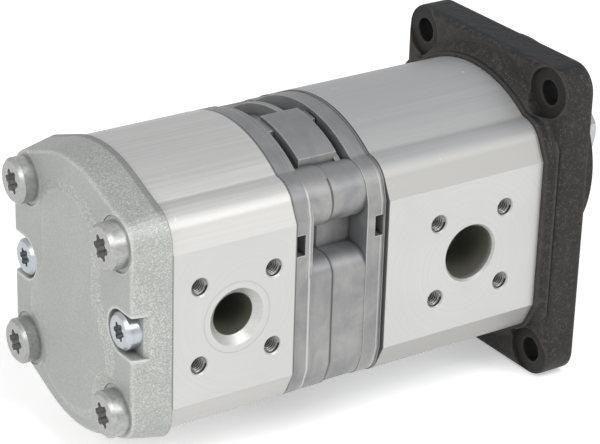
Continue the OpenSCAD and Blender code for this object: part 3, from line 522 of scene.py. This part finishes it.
def helix(mesh, place):
    """Ridge of a tapped hole's thread, wound round local Z from 0 downward."""
    root = TAPPED_R + THREAD_SUNK
    crest = TAPPED_R - THREAD_HEIGHT
    half = 0.44 * THREAD_PITCH
    tip = 0.08 * THREAD_PITCH
    profile = [(root, -half), (crest, -tip), (crest, tip), (root, half)]
    last = None
    for i in range(int(THREAD_TURNS * THREAD_STEPS) + 1):
        turn = 2 * math.pi * i / THREAD_STEPS
        drop = -THREAD_PITCH * i / THREAD_STEPS - half
        ring = [mesh.verts.new(place @ Vector((r * math.cos(turn), r * math.sin(turn), drop + h)))
                for r, h in profile]
        if last:
            for k in range(3):
                mesh.faces.new((last[k], last[k + 1], ring[k + 1], ring[k]))
        last = ring


def tapped_holes(name, side, x, pcd):
    """The four threads round a port, on the -1 or +1 side of the pump."""
    mesh = bmesh.new()
    for i in range(4):
        turn = TAPPED_TURN + math.radians(90 * i)
        at = Vector((x + pcd / 2 * math.cos(turn), side * (HALF_W - THREAD_START),
                     CENTRE_Z + pcd / 2 * math.sin(turn)))
        helix(mesh, Matrix.Translation(at) @ Matrix.Rotation(-side * math.pi / 2, 4, "X"))
    data = bpy.data.meshes.new(name)
    mesh.to_mesh(data)
    mesh.free()
    piece = bpy.data.objects.new(name, data)
    bpy.context.collection.objects.link(piece)
    piece.data.materials.append(finishes["tapped_thread"].material)
    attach(piece, "housing")


for stage, x in (("front", FRONT_PORT_X), ("rear", REAR_PORT_X)):
    tapped_holes(f"{stage}_suction_threads", -1, x, SUCTION_PCD)
    tapped_holes(f"{stage}_pressure_threads", 1, x, PRESSURE_PCD)


def soft_lamp(name, offset, size, watts):
    """A square lamp, placed by its offset from the camera's aim and turned to it."""
    data = bpy.data.lights.new(name, "AREA")
    data.shape = "SQUARE"
    data.size = size
    data.energy = watts
    lamp = bpy.data.objects.new(name, data)
    bpy.context.collection.objects.link(lamp)
    lamp.location = AIM + Vector(offset)
    lamp.rotation_euler = (-Vector(offset)).to_track_quat("-Z", "Y").to_euler()


def seen_directly(tree):
    """1 for camera, glossy and transmission rays, 0 for the rays that light the object."""
    path = tree.nodes.new("ShaderNodeLightPath")
    total = path.outputs["Is Camera Ray"]
    for kind in ("Is Glossy Ray", "Is Transmission Ray"):
        either = tree.nodes.new("ShaderNodeMath")
        either.operation = "MAXIMUM"
        tree.links.new(total, either.inputs[0])
        tree.links.new(path.outputs[kind], either.inputs[1])
        total = either.outputs[0]
    return total


def make_world(level):
    """A world that is white where it is seen and lights the object at a lower level."""
    world = bpy.data.worlds.new("studio")
    bpy.context.scene.world = world
    world.use_nodes = True
    tree = world.node_tree
    tree.nodes.clear()
    out = tree.nodes.new("ShaderNodeOutputWorld")
    back = tree.nodes.new("ShaderNodeBackground")
    strength = tree.nodes.new("ShaderNodeMapRange")
    strength.inputs["To Min"].default_value = level
    strength.inputs["To Max"].default_value = 1.0
    tree.links.new(seen_directly(tree), strength.inputs["Value"])
    tree.links.new(strength.outputs["Result"], back.inputs["Strength"])
    tree.links.new(back.outputs[0], out.inputs[0])


def make_floor():
    """White paper under the pump, which keeps its shadow."""
    bpy.ops.mesh.primitive_plane_add(size=FLOOR_SIZE,
                                     location=(AIM.x, AIM.y, flange_low.z - FLOOR_GAP))
    floor = bpy.context.object
    floor.name = "studio_floor"
    paper = Finish("studio_floor")
    paper.set(Base_Color=paper.mix(paper.noise(8, 2), srgb(247, 247, 247), srgb(252, 252, 252)),
              Roughness=0.9, Emission_Color=(1, 1, 1, 1),
              Emission_Strength=paper.times(seen_directly(paper.tree), FLOOR_GLOW))
    floor.data.materials.append(paper.material)


def make_camera():
    """The photograph's camera."""
    back = Vector((math.sin(AZIMUTH) * math.cos(ELEVATION),
                   -math.cos(AZIMUTH) * math.cos(ELEVATION), math.sin(ELEVATION)))
    data = bpy.data.cameras.new("camera")
    data.sensor_width = SENSOR
    data.lens = LENS
    data.clip_start = 0.05
    data.clip_end = 10
    camera = bpy.data.objects.new("camera", data)
    bpy.context.collection.objects.link(camera)
    camera.location = AIM + back * DISTANCE
    level_view = (-back).to_track_quat("-Z", "Y").to_matrix().to_4x4()
    camera.rotation_euler = (level_view @ Matrix.Rotation(ROLL, 4, "Z")).to_euler()
    bpy.context.scene.camera = camera


make_world(WORLD_LEVEL)
make_floor()
soft_lamp("key", (0.05, -0.66, 0.98), 0.55, 5.5)
soft_lamp("lobe_light", (0.56, -0.86, 0.66), 0.3, 2.5)
soft_lamp("left", (-1.0, -0.35, 0.6), 0.6, 6)
make_camera()

bpy.context.scene.view_settings.view_transform = "Standard"
